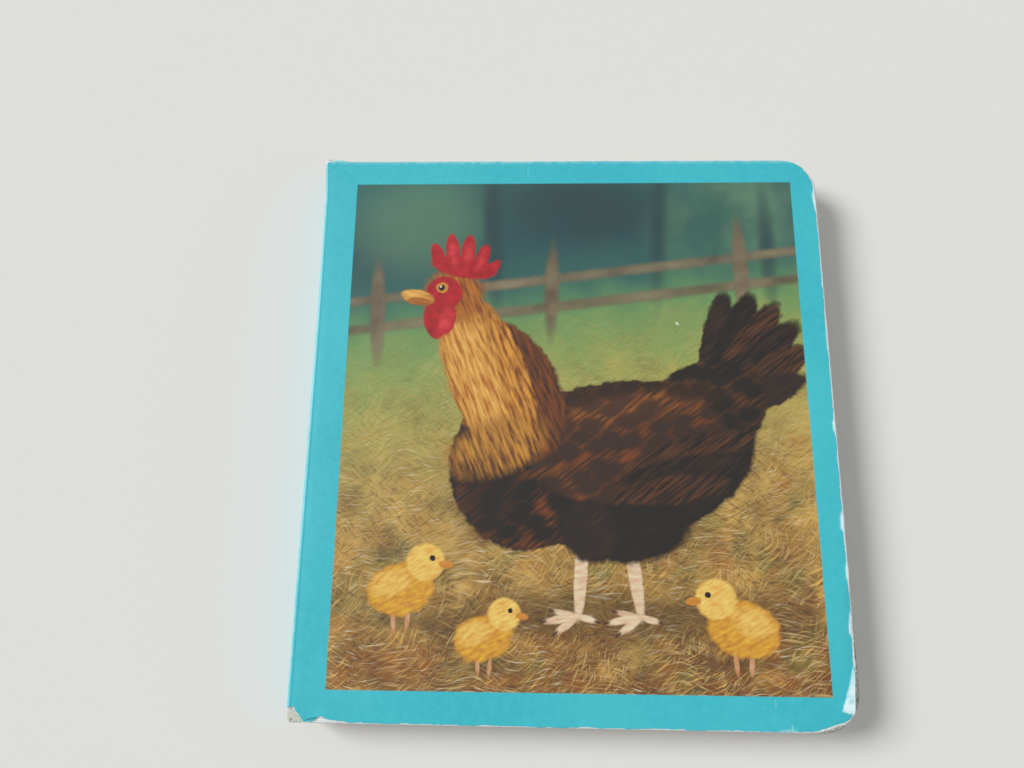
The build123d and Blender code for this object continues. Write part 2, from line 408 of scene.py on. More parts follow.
def laminateMaterial(name, withPicture):
    material, add, place = newMaterial(name)
    clouds = {}
    for key, detail in (("mottle", 4.0), ("cloud", 2.0), ("fray", 5.0), ("crumb", 3.0), ("film", 3.0)):
        clouds[key] = add("TexNoise", {"Vector": place, "Scale": 1 / laminate[key], "Detail": detail})
    mottle = clouds["mottle"]
    mottle.node.inputs["Roughness"].default_value = 0.6
    ink = add("MapRange", (mottle, 0.3, 0.7))
    pale = add("MapRange", (clouds["cloud"], 0.4, 0.75, 0.0, 0.5))
    layers = [(ink, linear(laminate["teal"])), (pale, linear(laminate["tealPale"]))]
    if withPicture:
        scene, panel = pictureColour(add, place)
        layers.append((panel, scene))
        flat = add("VectorMath", (place, (1, 1, 0)), operation="MULTIPLY")
        for x, y, halfLong, halfWide, turn, tint, strength in laminate["marks"]:
            stroke = add("TexGradient", [flat], "Fac", gradient_type="SPHERICAL", texture_mapping=dict(
                vector_type="TEXTURE", translation=(x, y, 0), rotation=(0, 0, math.radians(turn)),
                scale=(halfLong, halfWide, 1),
            ))
            mark = add("Math", (stroke, mottle), operation="MULTIPLY")
            mark = add("MapRange", (mark, 0.03, 0.25, 0.0, strength))
            layers.append((mark, linear(laminate[tint])))

    # skinLoss is the distance in mm into a worn place, crazing the film's whiteness where rubbed together
    # with painted highlights on the fold, the bent-up flap and lifted film, grime the board's dirt with
    # painted shade in the pit
    loss, crazingAndHighlight, grime = [
        add("Attribute", out="Fac", attribute_name=key) for key in ("skinLoss", "crazingAndHighlight", "grime")
    ]
    edge = add("Math", (clouds["fray"], 0.5, loss), operation="MULTIPLY_ADD")
    bare = add("MapRange", (edge, 0.2, 0.32))
    deep = add("MapRange", (edge, 0.45, 0.85))
    # film rubbed pale, and painted highlights on the fold, the bent-up flap and the lifted film
    paleFilmAndHighlight = add("Math", (crazingAndHighlight, ink), operation="MULTIPLY")
    paleFilmAndHighlight = add("Math", (crazingAndHighlight, 0.6, paleFilmAndHighlight), operation="MULTIPLY_ADD")
    # under the white paper lies pulp, dirty in places; grime above 1 marks the pit, painted dark as shade
    crumbs = add("MapRange", (clouds["crumb"], 0.38, 0.66))
    dirt = add("Math", (crumbs, grime), operation="MULTIPLY")
    pit = add("Math", (grime, 1.0), operation="SUBTRACT")
    dirt = add("Math", (dirt, pit), operation="MAXIMUM")
    shown = add("MapRange", (grime, 0.0, 0.3, 0.2))
    deep = add("Math", (deep, shown), operation="MULTIPLY")
    pulp, pulpDark = linear(laminate["pulp"]), linear(laminate["pulpDark"])
    core = add("Mix", {0: dirt, 6: pulp, 7: pulpDark}, 2, data_type="RGBA")
    core = add("Mix", {0: deep, 6: linear(laminate["paper"]), 7: core}, 2, data_type="RGBA")
    layers += [(paleFilmAndHighlight, linear(laminate["bruiseAndHighlight"])), (bare, core)]
    colour = linear(laminate["tealDeep"])
    for mask, paint in layers:
        colour = add("Mix", {0: mask, 6: colour, 7: paint}, 2, data_type="RGBA")

    gloss = add("Math", (mottle, 0.1, laminate["roughness"] - 0.05), operation="MULTIPLY_ADD")
    gloss = add("Mix", {0: bare, 2: gloss, 3: laminate["bareRoughness"]}, data_type="FLOAT")
    torn = add("Math", (crumbs, bare), operation="MULTIPLY")
    height = add("Math", (torn, -2.5, clouds["film"]), operation="MULTIPLY_ADD")
    finishSurface(add, laminate, colour, gloss, height)
    return material


# Die-cut pulp board seen from its edge: off-white, streaked along the sheet, quite matt.
# Plies run along the edge, so the streaks are fine in z and long in x and y.
cutEdge = dict(
    light="#E3E2DA", dark="#B7B6AA", streak=0.16, run=5.0, fluff=0.6,
    roughness=0.88, ior=1.45, bump=0.4, relief=0.08,
)


def cutBoardMaterial():
    material, add, place = newMaterial("die-cut pulp board edge")
    spread = add("Mapping", {
        "Vector": place, "Scale": (cutEdge["run"], cutEdge["run"], cutEdge["streak"]),
    }, vector_type="TEXTURE")
    plies = add("TexNoise", {"Vector": spread, "Scale": 1.0, "Detail": 3.0})
    fluff = add("TexNoise", {"Vector": place, "Scale": 1 / cutEdge["fluff"], "Detail": 4.0})
    grain = add("Math", (plies, fluff), operation="ADD")
    grain = add("MapRange", (grain, 0.8, 1.25))
    dark, light = linear(cutEdge["dark"]), linear(cutEdge["light"])
    colour = add("Mix", {0: grain, 6: dark, 7: light}, 2, data_type="RGBA")
    finishSurface(add, cutEdge, colour, cutEdge["roughness"], grain)
    return material


# Page block: thick leaves by Geometry Nodes, one leaf and its fold repeated up the block
leaves = dict(
    count=5, thick=1.5, foreCorner=9.6, rim=0.22, foldBulge=0.5, foldTuck=0.3, foldShort=0.05,
    shift=0.14, wave=0.05, waveLong=45.0, seed=11,
    step=4, cornerTurn=5, rimTurn=30, foldTurn=15,  # how finely a leaf is divided
)
leafThick = leaves["thick"]
leafPitch = (leafHigh.z - leafLow.z) / leaves["count"]
leafFloor = leafHigh.z - leafThick  # of the uppermost leaf
foldLine = leafLow.x + leaves["foldBulge"]

# Clay-coated white board: faintly warm, nearly even, with a low sheen; the leaves' cut edges show two plies.
# The paste line between these is drawn a little wider than the real 0.05 mm so that it shows.
coated = dict(
    white="#E2DFD4", warm="#DBD7CA", plyLine="#B1AC9D", mottle=7.0, tooth=0.9,
    roughness=0.55, ior=1.47, bump=0.2, relief=0.04,
    lineWidth=0.14, lineCore=0.04, lineJag=0.12, lineShow=0.6,
)


def coatedMaterial(name, withPasteLine):
    material, add, place = newMaterial(name)
    tooth = add("TexNoise", {"Vector": place, "Scale": 1 / coated["tooth"], "Detail": 4.0})
    cloud = add("TexNoise", {"Vector": place, "Scale": 1 / coated["mottle"], "Detail": 3.0})
    shade = add("MapRange", (cloud, 0.3, 0.7))
    layers = [(shade, coated["white"])]
    if withPasteLine:
        # at half a leaf's thickness, in every leaf
        level = add("SeparateXYZ", [place], "Z")
        for operation, value in (
            ("SUBTRACT", leafFloor), ("FLOORED_MODULO", leafPitch), ("SUBTRACT", leafThick / 2),
        ):
            level = add("Math", (level, value), operation=operation)
        level = add("Math", [level], operation="ABSOLUTE")
        level = add("Math", (tooth, coated["lineJag"], level), operation="MULTIPLY_ADD")
        line = add("MapRange", (level, coated["lineWidth"], coated["lineCore"], 0.0, coated["lineShow"]))
        layers.append((line, coated["plyLine"]))
    colour = linear(coated["warm"])
    for mask, tint in layers:
        colour = add("Mix", {0: mask, 6: colour, 7: linear(tint)}, 2, data_type="RGBA")
    finishSurface(add, coated, colour, coated["roughness"], tooth)
    return material


printedBoard = laminateMaterial("satin laminated printed board", True)
tealBoard = laminateMaterial("satin laminated teal board", False)
cutBoard = cutBoardMaterial()
lining = coatedMaterial("clay-coated white lining", False)
pageBoard = coatedMaterial("clay-coated white page board", True)
print("materials: %d" % len(bpy.data.materials))

# Wrap: front cover, spine and back cover of one creased board, with its rim, folds and creases in mm
wrap = dict(
    foreCorner=10.0, spineCorner=1.4, rim=0.4, innerRim=0.15, foldRadius=0.9, hinge=1.4, foldReach=3.3,
    creaseFoldSide=0.5, creaseCoverSide=1.5, creaseHead=0.015, creaseTail=0.06, backCrease=0.05,
    skin=0.3, bow=0.05, backWear=0.1,
)
hingeX = left + wrap["hinge"]  # bottom of a crease, where a cover meets its fold
innerX = left + wrap["foldReach"]


def steps(start, end, step):
    count = max(1, math.ceil(abs(end - start) / step))
    return [start + (end - start) * i / count for i in range(count + 1)]


def arc(middleX, middleY, radius, start, end, step):
    # points round a corner, by angles in degrees
    turns = [math.radians(angle) for angle in steps(start, end, step)]
    return [(middleX + radius * math.cos(turn), middleY + radius * math.sin(turn)) for turn in turns]


def smooth(low, high, value):
    share = min(1.0, max(0.0, (value - low) / (high - low)))
    return share * share * (3 - 2 * share)


def ripple(x, y, size, seed):
    return noise.noise(Vector((x / size, y / size, seed)))


def hollow(x, y, atX, atY, halfWide, halfHigh):
    return math.exp(-((x - atX) / halfWide) ** 2 - ((y - atY) / halfHigh) ** 2)


def endReach(x):
    # half the boards' height at x, less for the round corners
    cut = 0.0
    for radius, gone in ((wrap["spineCorner"], x - left), (wrap["foreCorner"], right - x)):
        short = min(radius, max(0.0, radius - gone))
        cut += radius - math.sqrt(radius ** 2 - short ** 2)
    return head - cut


def rimDistance(x, y):
    # distance inside the die-cut edge at tail, fore-edge and head
    radius = wrap["foreCorner"]
    across, along = right - radius - x, head - radius - abs(y)
    if across < 0 and along < 0:
        return radius - math.hypot(across, along)
    if x < 0:
        return endReach(x) - abs(y)
    return min(right - x, head - abs(y))


def inward(x, y):
    # direction away from the nearest die-cut edge
    radius = wrap["foreCorner"]
    across, along = right - radius - x, head - radius - abs(y)
    if across < 0 and along < 0:
        return Vector((across, math.copysign(1, y) * along)).normalized()
    if right - x < head - abs(y):
        return Vector((-1, 0))
    return Vector((0, -math.copysign(1, y)))


def rimDrop(distance, radius):
    # how far a rounded rim lies below the face
    if distance >= radius:
        return 0.0
    return radius - math.sqrt(max(0.0, radius ** 2 - (radius - max(0.0, distance)) ** 2))


# Wear on the front cover. Outlines and places in mm: "torn" ones from the spine and the tail edge,
# those of the crushed corner from the fore-edge and the tail edge.
wear = dict(
    tornCorner=(
        (-3, 3.0), (0, 3.1), (0.9, 3.5), (1.75, 3.6), (2.3, 2.9), (3.0, 2.05), (3.7, 1.25), (4.3, 0.5),
        (4.5, -3), (-3, -3),
    ),
    tornEdge=(
        (6.4, -3), (6.9, 0.15), (8.0, 0.85), (9.0, 1.55), (9.7, 1.05), (10.9, 0.75), (12.0, 0.62),
        (14.4, 0.4), (17.0, 0.05), (17.4, -3),
    ),
    crushedCorner=(
        (0.2, 34), (0.5, 26), (0.75, 19), (0.85, 13.9), (1.35, 9.0), (1.75, 4.35), (2.6, 3.4), (4.3, 2.5),
        (7.3, 1.6), (10.5, 0.5), (14.5, -0.1), (14.5, -4), (-4, -4), (-4, 34),
    ),
    flap=((1.1, 16.1), (4.9, 5.1), (1.75, 4.2), (0.85, 13.9)),  # film bent up along its first two corners
    flapSlope=0.12,
    areas=dict(torn=(20, 6), crushedCorner=(17, 36), flap=(6, 18)),  # that hold them, across and up
    jag=0.14,  # raggedness of a tear's line
    dirt=dict(crushedCorner=0.95, tornCorner=0.3, tornEdge=0.05, foreEdge=0.35, tailEdge=0.05),
    skinOver=0.22,  # how much wider a tear shows than its outline
    lip=0.07, lipAt=0.15, lipWide=0.4,  # the curled film beside a tear
    sag=0.14, sagUp=(1.7, 0.2), sagFrom=(3.6, 4.8), sagTo=(9.2, 7.6),  # skin hanging between the two tears
    droop=0.2,  # how far the skin beside the crushed corner is bent down
    crush=0.3,  # how far the crushed corner's rim is pressed down
    pit=(1.55, 0.75, 0.24, 0.34), pitDepth=0.18, pitShade=1.9,  # in the torn corner: place and half sizes, then depth and strength of the pit's painted shade
    dent=(-12.35, 75.6, 0.32, 1.15), dentDepth=0.13,  # in the head border: place in the book, half sizes
    # film lifted along the fore-edge, whitened and with a painted highlight: place in the book's height,
    # half length, strength
    lifted=(
        (66, 6.0, 0.9), (23, 9.0, 0.6), (-1.5, 3.4, 0.95), (-27, 5.0, 1.0), (-40, 4.2, 0.9), (-53, 6.0, 1.0),
        (-63, 6.0, 0.75),
    ),
    liftedWidth=1.15,
    foreWear=0.62, tailWear=0.24, headWear=0.14, cornerWear=1.0,  # widths of the rims that are rubbed white
    # how pale the film is rubbed, and the distances at which that begins and is full; on the fold this
    # paleness is a painted highlight
    rubsAndHighlight=dict(head=(0.25, 1.4, 0.1), corner=(0.7, 7.0, 3.0), fold=(0.2, 0.95, 0.3)),
    # the frayed head corner of the spine stands out: how far in x and y, and the distances from the spine
    # and from the head at which that begins and is full
    splay=((-0.6, 0, 7, 1, 12, 1), (-0.3, 0, 20, 0, 50, 10), (0, 0.95, 6.5, 2.5, 9, 0.5)),
    splayDown=(6.0, 0.6),  # and how deep it reaches below the face
    rimRough=((0.08, 2.3, 6.6), (0.06, 0.8, 2.6)),  # worn rim: depth, grain and seed
)


def fromSpine(x, y):
    return Vector((x - left, y - tail))


def fromFore(x, y):
    return Vector((right - x, y - tail))


def toBook(key, across, up):
    # back from a place on a worn outline to the book
    return (left + across if key.startswith("torn") else right - across, tail + up)


def within(point, key):
    across, up = wear["areas"][key]
    return point.x < across and point.y < up


def outlineDistance(point, outline):
    # signed distance to a closed outline, negative inside
    nearest, inside = 1e9, False
    for (ax, ay), (bx, by) in zip(outline, outline[1:] + outline[:1]):
        edge = Vector((bx - ax, by - ay))
        reach = point - Vector((ax, ay))
        share = min(1.0, max(0.0, reach.dot(edge) / edge.length_squared))
        nearest = min(nearest, (reach - edge * share).length)
        if (ay > point.y) != (by > point.y) and point.x < ax + (point.y - ay) / (by - ay) * (bx - ax):
            inside = not inside
    return -nearest if inside else nearest


def bareDistance(x, y):
    # signed distance to the nearest place where the skin is off, negative inside, and how dirty it is there
    jag = wear["jag"] * ripple(x, y, 0.9, 3.1) - wear["skinOver"]
    dirt = wear["dirt"]
    spine, fore = fromSpine(x, y), fromFore(x, y)
    if within(fore, "crushedCorner"):
        return outlineDistance(fore, wear["crushedCorner"]) + jag, dirt["crushedCorner"]
    if within(spine, "torn"):
        corner, edge = [outlineDistance(spine, wear[key]) for key in ("tornCorner", "tornEdge")]
        return (corner + jag, dirt["tornCorner"]) if corner < edge else (edge + jag, dirt["tornEdge"])
    return 9.0, 0.0


def flapLift(x, y):
    # height of the bent-up film at the crushed corner, its share and how white it is: whitened film with a
    # painted highlight on it
    point = fromFore(x, y)
    if not within(point, "flap"):
        return 0.0, 0.0, 0.0
    inside = smooth(0.07, -0.07, outlineDistance(point, wear["flap"]))
    upper, lower, outer = [Vector(corner) for corner in wear["flap"][:3]]
    away = max(0.0, (upper - lower).normalized().cross(point - upper))  # from the bend
    low = max(0.0, (outer - lower).normalized().cross(lower - point))  # from the lower end, which lies down
    # painted highlight and whitening, whitest towards the lower end, streaked along the bend, with soft
    # uneven edges
    streaks = ripple(2.2 * away, point.y / 5, 1.0, 5.5)
    jag = 0.2 * ripple(x, y, 0.8, 2.2)
    white = inside * (0.62 + 0.38 * smooth(14.0, 6.0, point.y)) * (1 + 0.2 * streaks)
    white *= smooth(-0.1, 0.35, away + jag) * smooth(-0.1, 0.6, low + jag)
    return inside * wear["flapSlope"] * away * smooth(0.0, 1.6, low), inside, white


def liftedFilm(x, y):
    # share of the white film that has come loose along the fore-edge; its paleness is whitened film with a
    # painted highlight
    if right - x > 3:
        return 0.0
    found = 0.0
    for middle, half, strength in wear["lifted"]:
        found = max(found, strength * smooth(half, 0.25 * half, abs(y - middle)))
    width = wear["liftedWidth"] * (1 + 0.3 * ripple(0.0, y, 3.0, 4.4)) * found
    return found * smooth(width + 0.2, width - 0.2, right - x)


def wornRim(x, y):
    # width in mm of the rim that is rubbed white, and how dirty it is
    drift = ripple(x, y, 5.0, 7.7) + 0.6 * ripple(x, y, 1.7, 1.3)
    fore = smooth(-3.0, 3.0, head - abs(y) - right + x)  # 1 along the fore-edge, 0 along head and tail
    if y < 0:
        width, grime = wear["tailWear"] * (1 + 1.2 * drift), wear["dirt"]["tailEdge"]
    else:
        corner = wear["cornerWear"] * smooth(5.0, 1.6, math.hypot(x - left, head - y))
        width, grime = wear["headWear"] * (0.9 + 1.4 * drift) + corner, 0.7 * smooth(0, 0.4, corner)
    width += fore * (wear["foreWear"] * (1 + 0.4 * drift) - width)
    return width, grime + fore * (wear["dirt"]["foreEdge"] - grime)


# paleness of film rubbed at a rim, and on the fold a painted highlight
def rubAndHighlight(key, distance):
    strength, begin, full = wear["rubsAndHighlight"][key]
    return strength * smooth(begin, full, distance)


def creaseDrop(x, y, headDepth, tailDepth):
    # pressed hinge line beside the fold, steep on the fold's side
    depth = tailDepth + (headDepth - tailDepth) * (y - tail) / (head - tail)
    half = wrap["creaseFoldSide"] if x < hingeX else wrap["creaseCoverSide"]
    return depth * smooth(half, 0.0, abs(x - hingeX))


def frontFace(x, y):
    # height of the front cover's face with its wear, and the marks for the material: wear, painted
    # highlights and painted shade
    distance = rimDistance(x, y)
    bareAt, grime = bareDistance(x, y)
    bare = smooth(0.08, -0.08, bareAt)
    lift, lifted, white = flapLift(x, y)
    looseFilmAndHighlight = liftedFilm(x, y)
    worn, rimGrime = wornRim(x, y)
    z = top - rimDrop(distance, wrap["rim"] + 0.4 * max(0.0, worn - 0.2))
    z -= creaseDrop(x, y, wrap["creaseHead"], wrap["creaseTail"]) * (1 - bare)
    z += wrap["bow"] * ripple(x, y, 55.0, 9.4) * smooth(0, 12, distance) * smooth(0, 12, x - left)
    # skin between the two tears hangs down, skin beside a tear curls up a little
    across, up = x - left, y - tail
    hang = smooth(*wear["sagUp"], up) * smooth(*wear["sagFrom"], across) * smooth(*wear["sagTo"], across)
    z -= wear["sag"] * hang
    beside = 1 - max(bare, lifted)
    if x < 0:
        z += wear["lip"] * math.exp(-((bareAt - wear["lipAt"]) / wear["lipWide"]) ** 2) * beside
    else:
        z += wear["lip"] * looseFilmAndHighlight - wear["droop"] * smooth(1.8, 0.0, bareAt) * beside
    z += lift - wrap["skin"] * bare * (1 - lifted)
    if x > 0:
        z -= wear["crush"] * smooth(0.2, 1.6, -bareAt) * (1 - lifted)
    pit = hollow(across, up, *wear["pit"])
    z -= wear["pitDepth"] * pit + wear["dentDepth"] * hollow(x, y, *wear["dent"])
    stripped = 3.0 if x < left + 5.5 else 1.0  # the torn corner is bare pulp right up to its edge
    loss = max(worn - distance, -stripped * bareAt if lifted < 0.5 else -0.5)
    # paleness of the film: rubbed at the head and the head corner, a painted highlight on the fold, on the
    # bent-up flap and on film lifted at the fore-edge
    headRub = rubAndHighlight("head", head - y) * (1 + ripple(x, y, 2.6, 8.8))
    cornerRub = rubAndHighlight("corner", math.hypot(across, head - y)) * smooth(1.5, 0.5, distance)
    # the fold is painted paler as a highlight
    foldHighlight = rubAndHighlight("fold", across)
    crazingAndHighlight = max(white, looseFilmAndHighlight, headRub, cornerRub, foldHighlight)
    dirty = grime if -bareAt > worn - distance else rimGrime
    # grime, with the pit painted dark as shade
    return z, loss, min(1.0, crazingAndHighlight), dirty + wear["pitShade"] * pit


def backRub(x, y):
    return wrap["backWear"] * (0.6 + ripple(x, y, 4.0, 5.9))


def plainFace(x, y):
    # height of the back cover's face, which is only rubbed at its rim
    distance = rimDistance(x, y)
    z = top - rimDrop(distance, wrap["rim"]) - creaseDrop(x, y, wrap["backCrease"], wrap["backCrease"])
    return z, backRub(x, y) - distance, 0.0, 0.1


def splay(x, y, z):
    # a point of the front, moved where the spine's head corner is frayed
    high = smooth(*wear["splayDown"], top - z)
    for moveX, moveY, beginX, fullX, beginY, fullY in wear["splay"]:
        share = high * smooth(beginX, fullX, x - left) * smooth(beginY, fullY, head - y)
        x += moveX * share
        y += moveY * share
    return x, y, z


def newObject(name, data):
    thing = bpy.data.objects.new(name, data)
    bpy.context.scene.collection.objects.link(thing)
    return thing


unmarked = (-3.0, 0.0, 0.0)  # skinLoss, paleness and grime of a point with no wear and no painted light


def makePiece(name, points, faces, slots, materials, marks):
    # points in mm; slots says which material a face takes; marks are the points' wear, with painted
    # highlights and painted shade
    mesh = bpy.data.meshes.new(name)
    mesh.from_pydata([Vector(p) * mm for p in points], [], faces)
    for key, values in zip(("skinLoss", "crazingAndHighlight", "grime"), zip(*marks)):
        mesh.attributes.new(key, "FLOAT", "POINT").data.foreach_set("value", values)
    for material in materials:
        mesh.materials.append(material)
    mesh.polygons.foreach_set("material_index", slots)
    shell = bmesh.new()
    shell.from_mesh(mesh)
    bmesh.ops.delete(shell, geom=[v for v in shell.verts if not v.link_faces], context="VERTS")
    bmesh.ops.recalc_face_normals(shell, faces=shell.faces)
    shell.to_mesh(mesh)
    shell.free()
    mesh.shade_smooth()
    mesh.set_sharp_from_angle(angle=sharpAngle)
    return newObject(name, mesh)


def ringFaces(rings, count, base=0):
    # quads between rings of points that follow one another
    faces = []
    for k in range(rings - 1):
        here = base + k * count
        for i in range(count):
            j = (i + 1) % count
            faces.append([here + i, here + j, here + count + j, here + count + i])
    return faces


# How finely a cover's face is divided, in mm: rings inside the rim with every how many points they have,
# columns beside the crease, an open grid, and dense points in and beside the tears
coverGrid = dict(
    outline=0.45, cornerTurn=2.4, spineCorner=0.1, hingeLine=0.8,
    rings=((0.1, 1), (0.22, 1), (0.4, 1), (0.65, 1), (0.9, 1), (1.2, 1), (1.6, 2), (2.2, 4), (3.2, 6)),
    columns=(0.1, 0.2, 0.3, 0.42, 0.55, 0.8, 1.3, 2.2), columnStep=1.2, columnInset=0.9,
    open=3.6, openInset=4.5,
    tear=0.2, tearGaps=(-0.3, -0.1, 0.1, 0.3), bare=0.3, bareJog=0.08, dent=(0.12, 0.3),
)


def wearPoints():
    # dense points on the front cover where its skin is torn, bent or dented
    found = []
    for key in ("tornCorner", "tornEdge", "crushedCorner", "flap"):
        outline = wear[key]
        for (ax, ay), (bx, by) in zip(outline, outline[1:] + outline[:1]):
            run = Vector((bx - ax, by - ay))
            across = Vector((-run.y, run.x)).normalized()
            for share in steps(0, 1, coverGrid["tear"] / run.length):
                for gap in coverGrid["tearGaps"]:
                    found.append(toBook(key, *(Vector((ax, ay)) + run * share + across * gap)))
    patches = ((left, left + 19, tail + 4.8, 0.6), (right - 15, right, tail + 20, 0.3))
    for lowX, highX, highY, reach in patches:
        for x in steps(lowX, highX, coverGrid["bare"]):
            for y in steps(tail, highY, coverGrid["bare"]):
                if bareDistance(x, y)[0] < reach or flapLift(x, y)[1] > 0:
                    jogX, jogY = [coverGrid["bareJog"] * ripple(x, y, 0.3, seed) for seed in (4.0, 8.0)]
                    found.append((x + jogX, y + jogY))
    dentX, dentY, dentWide, dentHigh = wear["dent"]
    stepX, stepY = coverGrid["dent"]
    for x in steps(dentX - 3 * dentWide, dentX + 3 * dentWide, stepX):
        found += [(x, y) for y in steps(dentY - 2 * dentHigh, dentY + 2 * dentHigh, stepY)]
    return found


def coverPiece(name, face, flipped, materials, fine):
    # one cover: its face as a fine mesh of points, round rim, cut wall, lining and slanted end at the fold
    radius, step = wrap["foreCorner"], coverGrid["outline"]
    half = [(x, -endReach(x)) for x in steps(hingeX, left + wrap["spineCorner"], coverGrid["spineCorner"])]
    half += [(innerX, -head)] + [(x, -head) for x in steps(innerX, right - radius, step)[1:]]
    half += arc(right - radius, -head + radius, radius, -90, 0, coverGrid["cornerTurn"])[1:]
    half += [(right, y) for y in steps(-head + radius, 0, step)[1:]]
    outline = half + [(x, -y) for x, y in reversed(half[:-1])]
    reach = endReach(hingeX)
    hingeLine = [(hingeX, y) for y in steps(reach, -reach, coverGrid["hingeLine"])[1:-1]]
    rim = len(outline)
    points = outline + hingeLine
    edges = [(i, (i + 1) % len(points)) for i in range(len(points))]
    for inset, every in coverGrid["rings"]:
        for x, y in outline[::every]:
            away = inward(x, y) * inset
            if x + away.x > hingeX + 0.05 and abs(rimDistance(x + away.x, y + away.y) - inset) < 0.05:
                points.append((x + away.x, y + away.y))
    reach = head - coverGrid["columnInset"]
    for gap in coverGrid["columns"]:
        points += [(hingeX + gap, y) for y in steps(-reach, reach, coverGrid["columnStep"])]
    step, inset = coverGrid["open"], coverGrid["openInset"]
    points += [
        (x, y) for x in steps(hingeX + 4, right - inset, step)
        for y in steps(-head + inset, head - inset, step) if rimDistance(x, y) > 4.2
    ]
    if fine:
        points += [p for p in wearPoints() if p[0] > hingeX + 0.1 and rimDistance(*p) > 0.12]
    flat, _, faces, origins, _, _ = delaunay_2d_cdt([Vector(p) for p in points], edges, [], 1, 1e-4)
    loop = [None] * (rim + len(hingeLine))
    for index, sources in enumerate(origins):
        for source in sources:
            if source < len(loop):
                loop[source] = index

    solid, marks = [], []
    for x, y in flat:
        z, *mark = face(x, y)
        rough = 0.0
        if fine:
            rough = sum(deep * ripple(x, y, grain, seed) for deep, grain, seed in wear["rimRough"])
        shift = inward(x, y) * max(0.0, rough) * smooth(1.5, 0.0, rimDistance(x, y))
        solid.append((x + shift.x, y + shift.y, z))
        marks.append(mark)
    faces = [list(f) for f in faces]
    slots = [0] * len(faces)

    def addPoint(x, y, z):
        solid.append((x, y, z))
        marks.append(unmarked)
        return len(solid) - 1

    # wall: two levels under the rim, then a softened inner edge; beside the fold it ends on the slant
    walls = []
    for i, (x, y) in enumerate(outline):
        upper = loop[i]
        away = inward(x, y) * wrap["innerRim"]
        slant = top - board * (x - hingeX) / (innerX - hingeX)
        if x < innerX - 1e-6:
            walls.append([upper, addPoint(x, y, slant)] if x > hingeX + 1e-6 else [upper])
        else:
            middle = addPoint(x, y, coverUnder + 0.55 * board)
            low = addPoint(x, y, coverUnder + wrap["innerRim"])
            walls.append([upper, middle, low, addPoint(x + away.x, y + away.y, coverUnder)])
    for here, after in zip(walls, walls[1:]):
        pairs = max(len(here), len(after))
        first = here + [here[-1]] * (pairs - len(here))
        second = after + [after[-1]] * (pairs - len(after))
        for k in range(pairs - 1):
            quad = list(dict.fromkeys([first[k], first[k + 1], second[k + 1], second[k]]))
            if len(quad) > 2:
                faces.append(quad)
                slots.append(1)
    under = [w[-1] for w in walls if len(w) == 4]
    sideTail = [w[-1] for w in walls[:rim // 2] if len(w) < 4]
    sideHead = [w[-1] for w in walls[rim // 2:] if len(w) < 4]
    slanted = sideHead + loop[rim:] + sideTail + [under[0], under[-1]]
    faces += [under, slanted]
    slots += [2, 1]
    solid = [(x, y, top - z) if flipped else splay(x, y, z) for x, y, z in solid]
    return makePiece(name, solid, faces, slots, materials, marks)


frontCover = coverPiece("front_cover_board", frontFace, False, (printedBoard, cutBoard, lining), True)
backCover = coverPiece("back_cover_board", plainFace, True, (tealBoard, cutBoard, lining), False)
print("covers: %d and %d faces" % (len(frontCover.data.polygons), len(backCover.data.polygons)))

# How finely the folds and the spine are divided, in mm and degrees, and how far from the head and the tail
# their sections stand, closer where the wear is
sweep = dict(crease=0.1, turn=9, flat=0.25, spine=0.8, ends=[0, 0.1, 0.22, 0.4])
sweep["ends"] += [0.6 + 0.25 * i for i in range(18)] + [6, 8, 11, 15, 20, 26, 33, 41, 50, 60, 70]


def sweptPiece(name, outer, inner, face, flipped, materials):
    # a section (x, z) carried along the book's height; outer points get rim and wear, inner ones the lining
    section = list(outer) + list(inner)
    count = len(section)
    stations = [(-1, d) for d in sweep["ends"]] + [(1, d) for d in reversed(sweep["ends"])]
    # outward direction of each outer point, from its neighbours
    outs = []
    for i in range(len(outer)):
        before, after = outer[max(0, i - 1)], outer[min(len(outer) - 1, i + 1)]
        along = Vector((after[0] - before[0], after[1] - before[1])).normalized()
        outs.append(Vector((along.y, -along.x)))
    solid, marks = [], []
    for side, d in stations:
        for i, (x, z) in enumerate(section):
            y = side * (endReach(x) - d)
            mark = unmarked
            if i < len(outer):
                # the face's wear and painted light on what looks up, only a rubbed end on what looks to the
                # side
                faceZ, *wornMark = face(x, y)
                up = max(0.0, outs[i].y)
                share = smooth(0.0, 0.7, up)
                plainMark = (backRub(z, y) - d, wornMark[1], wornMark[2])
                mark = [b + (a - b) * share for a, b in zip(wornMark, plainMark)]
                x, z = x - outs[i].x * rimDrop(d, wrap["rim"]), z - up * (top - faceZ)
            solid.append((x, y, z))
            marks.append(mark)
    faces = ringFaces(len(stations), count)
    crossings = (len(outer) - 1, count - 1)
    slots = [1 if i in crossings else 0 if i < len(outer) else 2 for i in range(count)] * (len(stations) - 1)
    for base in (0, (len(stations) - 1) * count):
        _, _, tris, origins, _, _ = delaunay_2d_cdt(
            [Vector((solid[base + i][0], solid[base + i][2])) for i in range(count)],
            [(i, (i + 1) % count) for i in range(count)], [], 1, 1e-5)
        faces += [[base + origins[v][0] for v in tri] for tri in tris]
        slots += [1] * len(tris)
    solid = [(x, y, top - z) if flipped else splay(x, y, z) for x, y, z in solid]
    return makePiece(name, solid, faces, slots, materials, marks)


